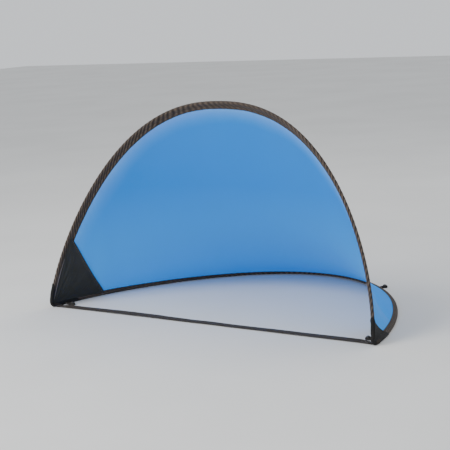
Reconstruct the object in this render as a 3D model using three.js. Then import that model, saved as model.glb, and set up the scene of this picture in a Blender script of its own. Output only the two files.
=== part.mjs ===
// Pop-up goal. Units are millimetres, +Z up. The origin is on the ground, under
// the middle of the goal-line strap. +X runs to the right along the goal line as
// seen from in front, and +Y runs back into the goal.
//
// A single loop of spring wire is bent at two front corners. One half stands up
// and leans back as the arch round the mouth, the other half lies on the ground
// as the hoop. Fabric is stretched between them. It is taut both along the loop
// and across it, so it takes a saddle shape, drawn in towards the goal line. A
// webbing strap along the goal line holds the corners apart.

import * as THREE from 'three';

const rad = THREE.MathUtils.degToRad;

// ---- driving dimensions ----
const HALF_WIDTH = 595;       // middle of the wire at the corners, from the centre
const ARCH_RISE = 661;        // hinge line to the middle of the wire at the top, along the lean
const HOOP_DEPTH = 732;       // hinge line to the middle of the wire at the back
const LEAN = rad(15);         // lean of the arch back from upright
const HINGE_Z = 17;           // height of the line the arch folds about
const CLEAR = 0.45;           // clearance between neighbouring pieces

// Superellipse exponents of the two halves of the loop.
const ARCH_ACROSS_EXP = 2.28;
const ARCH_RISE_EXP = 1.55;
const HOOP_ACROSS_EXP = 2.01;
const HOOP_DEPTH_EXP = 1.49;

// Wire, and the pocket of edge tape round it.
const WIRE_R = 2;             // to the flats of the hexagonal section
const BEND_R = 14;            // bend of the wire at each front corner
const BEND_STEPS = 6;
const POCKET_R = 5.5;         // centre of the wire pocket to its flats
const POCKET_CORNER_R = POCKET_R / Math.cos(Math.PI / 8);
const POCKET_BORE_R = 4.6;    // corners of the octagonal space inside the pocket

// Pieces are laid out from the hinge line, then moved so that the strap is over
// the origin.
const STRAP_Y = 24;           // middle of the strap, behind the hinge line
const group = new THREE.Group();
group.name = 'pop_up_goal';
group.position.y = -STRAP_Y;

// ---- materials ----
const material = (settings) => new THREE.MeshStandardMaterial(settings);
const blueFabric = () => material({ color: 0x4891ca, roughness: 0.62 });
const blackFabric = () => material({ color: 0x2c2c2f, roughness: 0.8 });
const tape = () => material({ color: 0x463f39, roughness: 0.85 });
const webbing = () => material({ color: 0x3a3531, roughness: 0.9 });
const springSteel = () => material({ color: 0x8b8f94, roughness: 0.35, metalness: 1 });
const ferruleMetal = () => material({ color: 0xa7a9ab, roughness: 0.4, metalness: 1 });
const plastic = () => material({ color: 0x1b1b1d, roughness: 0.5 });

function add(name, geometry, surface) {
  const mesh = new THREE.Mesh(geometry, surface);
  mesh.name = name;
  group.add(mesh);
  return mesh;
}

// ---- the two halves of the loop ----
// The loop angle runs from 0 at the right corner to pi at the left corner, and
// equal angles give equal x on the arch and on the hoop.
function acrossAt(angle) {
  const cosine = Math.cos(angle);
  return HALF_WIDTH * Math.sign(cosine) * Math.pow(Math.abs(cosine), 2 / ARCH_ACROSS_EXP);
}

function archPoint(angle) {
  const rise = ARCH_RISE * Math.pow(Math.max(Math.sin(angle), 0), 2 / ARCH_RISE_EXP);
  return new THREE.Vector3(
    acrossAt(angle), rise * Math.sin(LEAN), HINGE_Z + rise * Math.cos(LEAN));
}

function hoopPoint(angle) {
  const across = Math.pow(Math.abs(Math.cos(angle)), (2 * HOOP_ACROSS_EXP) / ARCH_ACROSS_EXP);
  const depth = HOOP_DEPTH * Math.pow(Math.max(1 - across, 0), 1 / HOOP_DEPTH_EXP);
  return new THREE.Vector3(acrossAt(angle), depth, POCKET_R);
}

const ANGLE_STEP = 2e-4;      // half the angle spanned when a direction is measured

function tangent(point, angle) {
  const before = point(Math.max(angle - ANGLE_STEP, 0));
  return point(Math.min(angle + ANGLE_STEP, Math.PI)).sub(before).normalize();
}

// Loop angles in the right half, from a place on the arch or on the hoop.
const angleForRise = (rise) => Math.asin(Math.pow(rise / ARCH_RISE, ARCH_RISE_EXP / 2));
const angleForAcross = (x) => Math.acos(Math.pow(x / HALF_WIDTH, ARCH_ACROSS_EXP / 2));
const angleForDepth = (depth) => Math.acos(Math.pow(
  1 - Math.pow(depth / HOOP_DEPTH, HOOP_DEPTH_EXP), ARCH_ACROSS_EXP / (2 * HOOP_ACROSS_EXP)));

// Table of length along the arch at even angles, so that pieces are cut evenly.
const TABLE_STEPS = 4000;
const lengthTable = new Float64Array(TABLE_STEPS + 1);
for (let i = 1; i <= TABLE_STEPS; i++) {
  const before = archPoint((Math.PI * (i - 1)) / TABLE_STEPS);
  const here = archPoint((Math.PI * i) / TABLE_STEPS);
  lengthTable[i] = lengthTable[i - 1] + here.distanceTo(before);
}

function archLengthTo(angle) {
  const row = (angle / Math.PI) * TABLE_STEPS;
  const i = Math.min(Math.floor(row), TABLE_STEPS - 1);
  return lengthTable[i] + (row - i) * (lengthTable[i + 1] - lengthTable[i]);
}

// The angle at a share of the arch's length between two angles.
function angleBetween(start, end, share) {
  if (share <= 0) return start;
  if (share >= 1) return end;
  const startLength = archLengthTo(start);
  const wanted = startLength + (archLengthTo(end) - startLength) * share;
  let low = 0;
  let high = TABLE_STEPS;
  while (high - low > 1) {
    const middle = (low + high) >> 1;
    if (lengthTable[middle] > wanted) high = middle;
    else low = middle;
  }
  const part = (wanted - lengthTable[low]) / (lengthTable[high] - lengthTable[low]);
  return (Math.PI * (low + part)) / TABLE_STEPS;
}

// ---- outlines and sweeps ----
function closedPath(PathType, points) {
  const path = new PathType(points);
  path.closePath();
  return path;
}

function shapeFrom(outline, hole) {
  const shape = closedPath(THREE.Shape, outline);
  if (hole) shape.holes.push(closedPath(THREE.Path, hole));
  return shape;
}

function polygon(cornerR, sides) {
  return Array.from({ length: sides }, (_, i) => {
    const angle = (2 * Math.PI * (i + 0.5)) / sides;
    return new THREE.Vector2(cornerR * Math.cos(angle), cornerR * Math.sin(angle));
  });
}

// A straight extrusion is carried along a row of stations; each station has a
// centre, a unit direction of travel and a unit "up" square to it.
function sweep(shape, stations) {
  const steps = stations.length - 1;
  const geometry = new THREE.ExtrudeGeometry(shape, { depth: steps, steps, bevelEnabled: false });
  const position = geometry.attributes.position;
  for (let i = 0; i < position.count; i++) {
    const { at, dir, up } = stations[Math.round(position.getZ(i))];
    const side = new THREE.Vector3().crossVectors(up, dir);
    const vertex = at.clone()
      .addScaledVector(side, position.getX(i))
      .addScaledVector(up, position.getY(i));
    position.setXYZ(i, vertex.x, vertex.y, vertex.z);
  }
  geometry.computeVertexNormals();
  return geometry;
}

// Stations from a start angle on the right to its mirror image on the left.
function stationsAlong(point, up, start, steps) {
  return Array.from({ length: steps + 1 }, (_, i) => {
    const angle = angleBetween(start, Math.PI - start, i / steps);
    return { at: point(angle), dir: tangent(point, angle), up };
  });
}

const ARCH_UP = new THREE.Vector3(0, -Math.cos(LEAN), Math.sin(LEAN));
const HOOP_UP = new THREE.Vector3(0, 0, 1);
const archStations = (start, steps) => stationsAlong(archPoint, ARCH_UP, start, steps);
const hoopStations = (start, steps) => stationsAlong(hoopPoint, HOOP_UP, start, steps);

// The corner bend lies in a plane of constant x. It is tangent to the line of the
// arch's lean and to the line of the hoop.
const BEND_Y = BEND_R / Math.tan((Math.PI / 2 - LEAN) / 2) - (HINGE_Z - POCKET_R) * Math.tan(LEAN);
const BEND_Z = POCKET_R + BEND_R;
const BEND_END_ANGLE = angleForDepth(BEND_Y);
const BEND_X = acrossAt(BEND_END_ANGLE);

// Travel goes from arch to hoop, and "up" faces the bend's centre. side is 1 at
// the right corner and -1 at the left.
function bendStations(side) {
  const first = Math.PI - LEAN;
  const last = 1.5 * Math.PI;
  return Array.from({ length: BEND_STEPS + 1 }, (_, i) => {
    const angle = first + ((last - first) * i) / BEND_STEPS;
    const y = Math.cos(angle);
    const z = Math.sin(angle);
    return {
      at: new THREE.Vector3(side * BEND_X, BEND_Y + BEND_R * y, BEND_Z + BEND_R * z),
      dir: new THREE.Vector3(0, -z, y),
      up: new THREE.Vector3(0, -y, -z),
    };
  });
}

const reversed = (stations) =>
  stations.map((station) => ({ ...station, dir: station.dir.clone().negate() })).reverse();

// ---- spring wire ----
// The loop is one wire. Here it is parted just above each bend, where the arch
// turns about the hinge line.
const ARCH_WIRE_START = 9;    // rise of the arch wire's ends above the hinge line
const FERRULE_HALF_L = 26;
const FERRULE_R = 3.55;       // corners of the octagonal outside
const FERRULE_BORE_R = 2.75;  // corners of the octagonal bore

const wireShape = shapeFrom(polygon(WIRE_R / Math.cos(Math.PI / 6), 6));
add('hoop_wire', sweep(wireShape, [
  ...bendStations(1).slice(0, -1),
  ...hoopStations(BEND_END_ANGLE, 96),
  ...reversed(bendStations(-1)).slice(1),
]), springSteel());
add('arch_wire', sweep(wireShape, archStations(angleForRise(ARCH_WIRE_START), 48)), springSteel());

// The ferrule is on the middle of the hoop, at the back.
const ferruleShape = shapeFrom(polygon(FERRULE_R, 8), polygon(FERRULE_BORE_R, 8));
add('wire_ferrule',
  sweep(ferruleShape, hoopStations(angleForAcross(FERRULE_HALF_L), 4)), ferruleMetal());

// ---- pockets of the edge tape, round the wire ----
// Distances from the hinge line, up the arch and back along the hoop.
const CORNER_SLEEVE_END = 34.5;
const SLEEVE_START = 36;

const pocketShape = shapeFrom(polygon(POCKET_CORNER_R, 8), polygon(POCKET_BORE_R, 8));
add('arch_sleeve', sweep(pocketShape, archStations(angleForRise(SLEEVE_START), 48)), tape());
add('hoop_sleeve', sweep(pocketShape, hoopStations(angleForDepth(SLEEVE_START), 64)), tape());

function cornerSleeve(side) {
  const mirror = new THREE.Vector3(side, 1, 1);
  const archEnd = archPoint(angleForRise(CORNER_SLEEVE_END)).multiply(mirror);
  const hoopEnd = hoopPoint(angleForDepth(CORNER_SLEEVE_END)).multiply(mirror);
  const arc = bendStations(side);
  return sweep(pocketShape, [
    { ...arc[0], at: archEnd },
    ...arc,
    { ...arc[BEND_STEPS], at: hoopEnd },
  ]);
}
add('corner_sleeve_right', cornerSleeve(1), blackFabric());
add('corner_sleeve_left', cornerSleeve(-1), blackFabric());

// ---- stretched fabric ----
const SAG = 0.2;              // how far the fabric is drawn in, as a share of its distance
const SAG_SKEW = 0.45;        // moves the deepest part towards the hoop
const SAG_AXIS_Z = (HINGE_Z + POCKET_R) / 2;  // height of the line it is drawn in towards
const FABRIC_START = POCKET_CORNER_R + 1.08;  // middle of the wire to the edge of the fabric
const ARCH_HEM_W = 17;        // flat part of the edge tape, beyond the pocket, at the arch
const HOOP_HEM_W = 10;        // the same at the hoop
const SHEET_T = 1.5;          // fabric with its seams, as a solid
const PATCH_T = 1;            // reinforcing patches
const PATCH_GAP = 0.35;       // clearance between stacked layers
const SHARE_STEP = 1e-3;      // step of share when a direction is measured

// Loop angles in degrees where pieces end, at the right.
const HEM_START_DEG = 6.6;
const PATCH_START_DEG = 6.8;
const PATCH_ARCH_DEG = 10;    // slanted seam of the corner patch, at the arch
const PATCH_HOOP_DEG = 15.5;  // the same at the hoop
const PANEL_START_DEG = 10.6;
const GUSSET_START_DEG = 11.2;
const SEAM_DEG = 25.2;        // where the gussets end, at the arch and at the hoop
const SEAM_BOW_DEG = 2.9;     // extra in the middle of that seam, which makes it run straight

// A straight line joins equal angles on the arch and on the hoop, in a plane of
// constant x. The fabric point at a share of it is then drawn in towards the goal
// line within that plane.
function fabricPoint(angle, share) {
  const point = archPoint(angle).lerp(hoopPoint(angle), share);
  const scale = 1 - SAG * 4 * share * (1 - share) * (1 + SAG_SKEW * (2 * share - 1));
  return new THREE.Vector3(point.x, point.y * scale, SAG_AXIS_Z + (point.z - SAG_AXIS_Z) * scale);
}

// Edges of the hems, as distances from the arch wire along the line at an angle.
// Widths are set square to each wire; squareness converts them to the line.
function hemEdges(angle) {
  const length = archPoint(angle).distanceTo(hoopPoint(angle));
  const squareness = (wirePoint, share, nearShare) => {
    const leaving = fabricPoint(angle, nearShare).sub(fabricPoint(angle, share))
      .divideScalar(SHARE_STEP * length);
    return tangent(wirePoint, angle).cross(leaving).length();
  };
  const archSquare = squareness(archPoint, 0, SHARE_STEP);
  const hoopSquare = squareness(hoopPoint, 1, 1 - SHARE_STEP);
  const archOuter = FABRIC_START / archSquare;
  const hoopOuter = length - FABRIC_START / hoopSquare;
  const widest = (hoopOuter - archOuter - CLEAR) / 2;
  return {
    length,
    archOuter,
    archInner: archOuter + Math.min(ARCH_HEM_W / archSquare, widest),
    hoopInner: hoopOuter - Math.min(HOOP_HEM_W / hoopSquare, widest),
    hoopOuter,
  };
}

// Unit normal of the fabric, towards the inside of the goal.
function inward(angle, share) {
  const along = fabricPoint(Math.min(angle + ANGLE_STEP, Math.PI - 1e-3), share)
    .sub(fabricPoint(Math.max(angle - ANGLE_STEP, 1e-3), share));
  const across = fabricPoint(angle, share + SHARE_STEP)
    .sub(fabricPoint(angle, share - SHARE_STEP));
  return along.cross(across).normalize();
}

// A thin solid on the fabric surface. span picks its two edges from hemEdges,
// ends(width) gives its two end angles at a share of its width, from the arch side,
// and layer is its two offsets towards the inside of the goal.
function sheet({ ends, span, layer, steps: [alongSteps, acrossSteps] }) {
  const geometry = new THREE.BoxGeometry(1, 1, 1, alongSteps, acrossSteps, 1);
  const position = geometry.attributes.position;
  for (let i = 0; i < position.count; i++) {
    const width = position.getY(i) + 0.5;
    const [start, end] = ends(width);
    const angle = angleBetween(start, end, position.getX(i) + 0.5);
    const edges = hemEdges(angle);
    const [near, far] = span(edges);
    const share = (near + (far - near) * width) / edges.length;
    const offset = layer[0] + (layer[1] - layer[0]) * (position.getZ(i) + 0.5);
    const vertex = fabricPoint(angle, share).addScaledVector(inward(angle, share), offset);
    position.setXYZ(i, vertex.x, vertex.y, vertex.z);
  }
  geometry.computeVertexNormals();
  return geometry;
}

const archHemSpan = (edges) => [edges.archOuter, edges.archInner];
const hoopHemSpan = (edges) => [edges.hoopInner, edges.hoopOuter];
const innerSpan = (edges) => [edges.archInner + CLEAR, edges.hoopInner - CLEAR];
const wholeSpan = (edges) => [edges.archOuter, edges.hoopOuter];

const PATCH_NEAR = SHEET_T / 2 + PATCH_GAP;
const PATCH_FAR = PATCH_NEAR + PATCH_T;
const mainLayer = [-SHEET_T / 2, SHEET_T / 2];
const insideLayer = [PATCH_NEAR, PATCH_FAR];
const outsideLayer = [-PATCH_FAR, -PATCH_NEAR];

// Pieces that run all the way from the right corner to the left.
function addFullSheet(name, startDeg, span, acrossSteps, surface) {
  const ends = () => [rad(startDeg), Math.PI - rad(startDeg)];
  add(name, sheet({ ends, span, layer: mainLayer, steps: [48, acrossSteps] }), surface);
}
addFullSheet('arch_hem', HEM_START_DEG, archHemSpan, 2, tape());
addFullSheet('hoop_hem', HEM_START_DEG, hoopHemSpan, 2, tape());
addFullSheet('rear_panel', PANEL_START_DEG, innerSpan, 8, blueFabric());

// Pieces between a corner and a seam, on the right and mirrored on the left.
function addCornerPair(name, startDeg, seamDeg, options) {
  const rightEnds = (width) => [rad(startDeg), rad(seamDeg(width))];
  const leftEnds = (width) => [Math.PI - rad(seamDeg(width)), Math.PI - rad(startDeg)];
  add(`${name}_right`, sheet({ ends: rightEnds, ...options }), blackFabric());
  add(`${name}_left`, sheet({ ends: leftEnds, ...options }), blackFabric());
}
// Gussets: black patches sewn over the panel on the inside, with a straight seam.
addCornerPair('gusset', GUSSET_START_DEG,
  (width) => SEAM_DEG + SEAM_BOW_DEG * 4 * width * (1 - width),
  { span: innerSpan, layer: insideLayer, steps: [8, 8] });
// Corner patches: smaller black pieces on the outside, with a slanted seam.
addCornerPair('corner_patch', PATCH_START_DEG,
  (width) => PATCH_ARCH_DEG + (PATCH_HOOP_DEG - PATCH_ARCH_DEG) * width,
  { span: wholeSpan, layer: outsideLayer, steps: [4, 6] });

// ---- goal line strap ----
const STRAP_W = 24;
const STRAP_T = 1.6;
const STRAP_FIT_Y = STRAP_Y + STRAP_W / 2 + 6;  // depth at which its length is fitted to the hoop

function addStrap() {
  const halfLength = hoopPoint(angleForDepth(STRAP_FIT_Y)).x - POCKET_CORNER_R - CLEAR;
  const geometry = new THREE.BoxGeometry(2 * halfLength, STRAP_W, STRAP_T);
  add('goal_line_strap', geometry, webbing()).position.set(0, STRAP_Y, STRAP_T / 2);
}
addStrap();

// ---- peg loops and ground pegs ----
const FRONT_LOOP_L = 42;      // peg loops, along their length
const REAR_LOOP_L = 30;
const FRONT_LOOP_Y = 55;      // front peg loops, behind the hinge line
const REAR_LOOP_ANGLE = rad(65);  // loop angle of the right rear peg loop
const LOOP_W = 14;
const LOOP_H = 6;
const LOOP_T = 1.6;
const LOOP_Z = 0.8;           // underside of the loops
const LOOP_END_STEPS = 6;     // sides of each half-round end
const PEG_LEN = 150;          // peg below its head
const PEG_POINT_LEN = 22;
const PEG_SHAFT_R = 3.4;
const PEG_HEAD_R = 6.6;
const PEG_INSET = 10.5;       // peg's axis from the loop's far end
const PEG_HEAD_Z = LOOP_Z + LOOP_H + 0.5;  // underside of the head, just clear of the loop

// Outline with half-round ends, long in x.
function racetrack(length, width) {
  const endR = width / 2;
  const endX = length / 2 - endR;
  const points = [];
  for (const [centreX, start] of [[endX, -Math.PI / 2], [-endX, Math.PI / 2]]) {
    for (let i = 0; i <= LOOP_END_STEPS; i++) {
      const angle = start + (Math.PI * i) / LOOP_END_STEPS;
      points.push(new THREE.Vector2(
        centreX + endR * Math.cos(angle), endR * Math.sin(angle)));
    }
  }
  return points;
}

function loopGeometry(length) {
  const shape = shapeFrom(
    racetrack(length, LOOP_W), racetrack(length - 2 * LOOP_T, LOOP_W - 2 * LOOP_T));
  return new THREE.ExtrudeGeometry(shape, { depth: LOOP_H, bevelEnabled: false });
}

function pegGeometry() {
  // radius, height above the underside of the head
  const profile = [
    [0, -PEG_LEN],
    [PEG_SHAFT_R, -PEG_LEN + PEG_POINT_LEN],
    [PEG_SHAFT_R, 0],
    [PEG_HEAD_R, 0],
    [PEG_HEAD_R, 2.4],
    [PEG_HEAD_R * 0.6, 4.1],
    [0, 4.5],
  ].map(([radius, height]) => new THREE.Vector2(radius, height));
  return new THREE.LatheGeometry(profile, 14).rotateX(Math.PI / 2);
}

// A loop leads away from the hoop wire in a heading (0 is +X), with its peg near
// the far end.
function addLoopAndPeg(place, x, y, heading, length) {
  const loopStart = POCKET_CORNER_R + CLEAR;
  const moveOut = (mesh, reach, z) =>
    mesh.position.set(x + reach * Math.cos(heading), y + reach * Math.sin(heading), z);
  const loop = add(`peg_loop_${place}`, loopGeometry(length), webbing());
  moveOut(loop, loopStart + length / 2, LOOP_Z);
  loop.rotation.z = heading;
  const peg = add(`ground_peg_${place}`, pegGeometry(), plastic());
  moveOut(peg, loopStart + length - PEG_INSET, PEG_HEAD_Z);
}

function addLoopPair(place, { x, y }, heading, length) {
  addLoopAndPeg(`${place}_right`, x, y, heading, length);
  addLoopAndPeg(`${place}_left`, -x, y, Math.PI - heading, length);
}

// Front loops point in along the goal line, rear loops out square to the hoop.
const rearOut = tangent(hoopPoint, REAR_LOOP_ANGLE).cross(HOOP_UP);
addLoopPair('front', hoopPoint(angleForDepth(FRONT_LOOP_Y)), Math.PI, FRONT_LOOP_L);
addLoopPair('rear', hoopPoint(REAR_LOOP_ANGLE), Math.atan2(rearOut.y, rearOut.x), REAR_LOOP_L);

export default group;
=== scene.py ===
"""A folding goal: a sprung wire arch and a wire hoop, joined by a blue cloth.

Z is up and the goal line runs along X at the front. The arch stands on the goal line and
leans towards +Y; the hoop lies on the ground and runs back to +Y. Black tape, gussets and
patches bind the edges and corners, webbing runs along the goal line, and four pegs hold
the goal down. Right is +X. Lengths are metres.
"""

import math

import bpy
import numpy as np
from mathutils import Matrix, Vector


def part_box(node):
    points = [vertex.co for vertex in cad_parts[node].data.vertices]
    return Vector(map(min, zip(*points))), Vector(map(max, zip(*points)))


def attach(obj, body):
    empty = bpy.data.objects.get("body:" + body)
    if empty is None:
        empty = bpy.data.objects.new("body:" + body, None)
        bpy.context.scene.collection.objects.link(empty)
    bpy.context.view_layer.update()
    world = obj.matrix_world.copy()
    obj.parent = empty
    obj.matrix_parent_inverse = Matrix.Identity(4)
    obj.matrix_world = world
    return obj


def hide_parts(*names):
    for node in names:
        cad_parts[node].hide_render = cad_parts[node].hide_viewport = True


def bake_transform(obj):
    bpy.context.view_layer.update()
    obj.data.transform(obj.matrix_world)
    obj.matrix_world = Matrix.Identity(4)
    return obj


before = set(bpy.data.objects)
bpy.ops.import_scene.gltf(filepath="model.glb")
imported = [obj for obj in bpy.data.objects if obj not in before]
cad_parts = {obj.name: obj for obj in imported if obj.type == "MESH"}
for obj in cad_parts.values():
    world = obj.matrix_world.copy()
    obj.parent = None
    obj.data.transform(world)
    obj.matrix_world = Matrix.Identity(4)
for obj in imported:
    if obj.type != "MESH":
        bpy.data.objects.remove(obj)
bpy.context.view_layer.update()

# ---------------------------------------------------------------- driving dimensions
HALF_WIDTH = 0.595
RISE = 0.661                     # up the slope of the arch
DEPTH = 0.732                    # from the goal line to the back of the hoop
LEAN = math.radians(15.0)
SIN_LEAN, COS_LEAN = math.sin(LEAN), math.cos(LEAN)
# The arch and the hoop share one plan shape, bounded by these powers.
ARCH_WIDTH_POWER, ARCH_RISE_POWER = 2.28, 1.55
HOOP_WIDTH_POWER, HOOP_DEPTH_POWER = 2.01, 1.49
HINGE_Y, HINGE_Z = -0.024, 0.017
HOOP_Z = 0.0055                  # centre of the hoop's pocket above the ground
AXIS_Z = (HINGE_Z + HOOP_Z) / 2
SAG, SAG_SKEW = 0.20, 0.45       # how far the cloth is drawn in, and more so near the hoop
FOLD = math.radians(73.0)        # angle the arch turns as it goes down
STANDING = math.pi / 2 - LEAN
FOLDED = STANDING - FOLD
BEND_RADIUS = 0.014              # wire bend at each corner

POCKET_RADIUS = 0.0049
ARCH_HEM, HOOP_HEM = 0.0225, 0.0155      # wire to the tape's edge, square to the wire
CLOTH_START = math.radians(3.2)          # just past the corner bend
POCKET_STITCH = 0.0105                   # wire to the inner row of tape stitches
EDGE_STITCH = ARCH_HEM - 0.0028
STITCH_PITCH = 0.0032
CLOTH_THICKNESS = 0.0005

SIDES = {1: "right", -1: "left"}
UP = np.array([0.0, 0.0, 1.0])
TURN = 2 * math.pi
rng = np.random.default_rng(7)


# ---------------------------------------------------------------- curves and noise
def coords(*parts):
    """Broadcasts the parts and stacks them as the last axis."""
    return np.stack(np.broadcast_arrays(*parts), -1)


def unit(vectors):
    return vectors / np.maximum(np.linalg.norm(vectors, axis=-1, keepdims=True), 1e-12)


def smooth(x):
    x = np.clip(x, 0, 1)
    return x * x * (3 - 2 * x)


def bell(x, width):
    return np.exp(-(x / width) ** 2)


def path_length(points):
    steps = np.linalg.norm(np.diff(points, axis=0), axis=1)
    return np.concatenate([[0], np.cumsum(steps)])


def resample(points, count):
    """Evenly spaced points on a path, and how far along it they are."""
    lengths = path_length(points)
    along = np.linspace(0, lengths[-1], count)
    return np.stack([np.interp(along, lengths, axis) for axis in points.T], -1), along


def cell(x, count):
    """Cells on both sides of x in a repeating row, and the eased place between them."""
    low = np.floor(x).astype(int)
    return low % count, (low + 1) % count, smooth(x - low)


def layered(layer, octaves):
    """Sum of ever finer and fainter layers, about -1 to 1."""
    sizes = [0.5 ** octave for octave in range(octaves)]
    return sum(size * layer(octave) for octave, size in enumerate(sizes)) / sum(sizes)


def noise1(x, seed, octaves=3):
    random = np.random.default_rng(seed)

    def layer(octave):
        values = random.uniform(-1, 1, 512)
        low, high, blend = cell(x * 2 ** octave + 13.7 * octave, 512)
        return values[low] * (1 - blend) + values[high] * blend
    return layered(layer, octaves)


def noise2(x, y, seed, octaves=3):
    random = np.random.default_rng(seed)

    def layer(octave):
        values = random.uniform(-1, 1, (128, 128))
        x0, x1, fx = cell(x * 2 ** octave + 7.3 * octave, 128)
        y0, y1, fy = cell(y * 2 ** octave + 3.1 * octave, 128)
        return ((values[x0, y0] * (1 - fx) + values[x1, y0] * fx) * (1 - fy)
                + (values[x0, y1] * (1 - fx) + values[x1, y1] * fx) * fy)
    return layered(layer, octaves)


# ---------------------------------------------------------------- wires and cloth surface
# A place on either wire is an angle: 0 in the right corner, pi in the left.
def across_at(angle):
    cosine = np.cos(angle)
    return HALF_WIDTH * np.sign(cosine) * np.abs(cosine) ** (2 / ARCH_WIDTH_POWER)


def arch_line(angle):
    rise = RISE * np.clip(np.sin(angle), 0, 1) ** (2 / ARCH_RISE_POWER)
    return coords(across_at(angle), rise * SIN_LEAN + HINGE_Y, HINGE_Z + rise * COS_LEAN)


def hoop_line(angle):
    outline = np.abs(np.cos(angle)) ** (2 * HOOP_WIDTH_POWER / ARCH_WIDTH_POWER)
    depth = np.clip(1 - outline, 0, 1) ** (1 / HOOP_DEPTH_POWER)
    return coords(across_at(angle), DEPTH * depth + HINGE_Y, HOOP_Z)


def angle_at_rise(rise):
    return np.arcsin((rise / RISE) ** (ARCH_RISE_POWER / 2))


def angle_at_depth(depth):
    power = ARCH_WIDTH_POWER / (2 * HOOP_WIDTH_POWER)
    return np.arccos((1 - (depth / DEPTH) ** HOOP_DEPTH_POWER) ** power)


class Wire:
    angles = np.linspace(0, math.pi, 8001)

    def __init__(self, name, line):
        self.name, self.line = name, line
        self.lengths = path_length(line(self.angles))
        self.total = self.lengths[-1]

    def length_at(self, angle):
        return np.interp(angle, self.angles, self.lengths)

    def angle_at(self, length):
        return np.interp(length, self.lengths, self.angles)

    def spread(self, start, end, count):
        """Angles evenly spaced by length along the wire."""
        return self.angle_at(np.linspace(self.length_at(start), self.length_at(end), count))

    def direction(self, angle, step=3e-4):
        ahead = self.line(np.clip(angle + step, 0, math.pi))
        return unit(ahead - self.line(np.clip(angle - step, 0, math.pi)))


ARCH = Wire("arch", arch_line)
HOOP = Wire("hoop", hoop_line)


def surface(angle, share):
    """Cloth at a share from the arch wire to the hoop wire, drawn in to the goal line."""
    share = np.asarray(share)
    arch = arch_line(angle)
    points = arch + (hoop_line(angle) - arch) * share[..., None]
    keep = 1 - SAG * 4 * share * (1 - share) * (1 + SAG_SKEW * (2 * share - 1))
    points[..., 1] = HINGE_Y + (points[..., 1] - HINGE_Y) * keep
    points[..., 2] = AXIS_Z + (points[..., 2] - AXIS_Z) * keep
    return points


def ruling(angle):
    """Length of the straight line between the wires, and how far from the arch and from
    the hoop, square to each, the cloth gets for each metre along that line."""
    step = 1e-3
    length = np.linalg.norm(hoop_line(angle) - arch_line(angle), axis=-1)
    rates = []
    for wire, end, near in ((ARCH, 0, step), (HOOP, 1, 1 - step)):
        slope = (surface(angle, near) - surface(angle, end)) / (step * length)[..., None]
        rates.append(np.linalg.norm(np.cross(wire.direction(angle), slope), axis=-1))
    return length, *rates


def normal_in(angle, share, step=3e-4):
    """Square to the cloth, towards the inside of the goal."""
    low, high = 2e-3, math.pi - 2e-3
    along = (surface(np.clip(angle + step, low, high), share)
             - surface(np.clip(angle - step, low, high), share))
    down = surface(angle, share + 1e-3) - surface(angle, share - 1e-3)
    return unit(np.cross(along, down))


def fabric(angle, distance, inward):
    """Point at a distance along the line from the arch, moved towards the inside."""
    share = distance / ruling(angle)[0]
    return surface(angle, share) + normal_in(angle, np.clip(share, 0, 1)) * inward[..., None]


def beside_wire(wire, angle, square, inward=0.0):
    """Points and normals at a distance square to a wire, moved towards the inside."""
    length, *rates = ruling(angle)
    share = square / rates[wire is HOOP] / length
    if wire is HOOP:
        share = 1 - share
    normals = normal_in(angle, np.clip(share, 0, 1))
    return surface(angle, share) + normals * np.asarray(inward)[..., None], normals


def hem(wire, angle):
    """Along the line from a wire: the pocket's edge, and the tape's flat part beyond it.
    Last, how wide that part is as a share of the arch's full width."""
    length, *rates = ruling(angle)
    rate = rates[wire is HOOP]
    width = HOOP_HEM if wire is HOOP else ARCH_HEM
    free = length - POCKET_RADIUS / rates[0] - POCKET_RADIUS / rates[1]
    reach = np.minimum((width - POCKET_RADIUS) / rate, free * 0.5 - 0.0003)
    scale = np.clip(reach * rate / (ARCH_HEM - POCKET_RADIUS), 0.02, 1)
    return POCKET_RADIUS / rate, reach, scale


def mirrored(angle, side):
    return angle if side > 0 else math.pi - angle


# ---------------------------------------------------------------- how the cloth folds
def fold_share(points, stiff=0.0):
    """Share of the arch's turn each point makes, so that the cloth falls flat between the
    arch and the hoop. Where `stiff` is 1 it turns with the arch."""
    y, z = points[..., 1] - HINGE_Y, points[..., 2] - HINGE_Z
    reach = np.hypot(y, z)
    slope = np.arctan2(z, y)
    under = np.arcsin(np.minimum(0.004 / np.maximum(reach, 1e-4), 0.35))
    end = -under + (FOLDED + under) * np.clip(slope / STANDING, -0.15, 1.0)
    share = np.clip((slope - end) / FOLD, 0, 1)
    share = np.where(slope < -math.pi / 2, 0.5, share)
    return share * (1 - stiff) + stiff


def wire_fold_share(wire, points, square):
    """Fold share of a piece that is firm round its wire and loosens away from it."""
    if wire is HOOP:
        return fold_share(points) * smooth((square - 0.005) / 0.006)
    return fold_share(points, 1 - smooth((square - 0.005) / 0.008))


def set_fold(obj):
    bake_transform(obj)


# ---------------------------------------------------------------- mesh helpers
def make_object(name, mesh):
    obj = bpy.data.objects.new(name, mesh)
    bpy.context.scene.collection.objects.link(obj)
    return obj


def make_mesh(name, points, faces, material, uv=None, attributes=None):
    mesh = bpy.data.meshes.new(name)
    mesh.from_pydata(points.reshape(-1, 3).tolist(), [], faces)
    if uv is not None:
        layer = mesh.uv_layers.new(name="UVMap")
        index = np.zeros(len(mesh.loops), int)
        mesh.loops.foreach_get("vertex_index", index)
        layer.data.foreach_set("uv", uv.reshape(-1, 2)[index].astype(np.float32).ravel())
    for key, values in (attributes or {}).items():
        attribute = mesh.attributes.new(key, "FLOAT", "POINT")
        attribute.data.foreach_set("value", values.astype(np.float32).ravel())
    mesh.polygons.foreach_set("use_smooth", [True] * len(mesh.polygons))
    mesh.update()
    obj = make_object(name, mesh)
    mesh.materials.append(material)
    return obj


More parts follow.
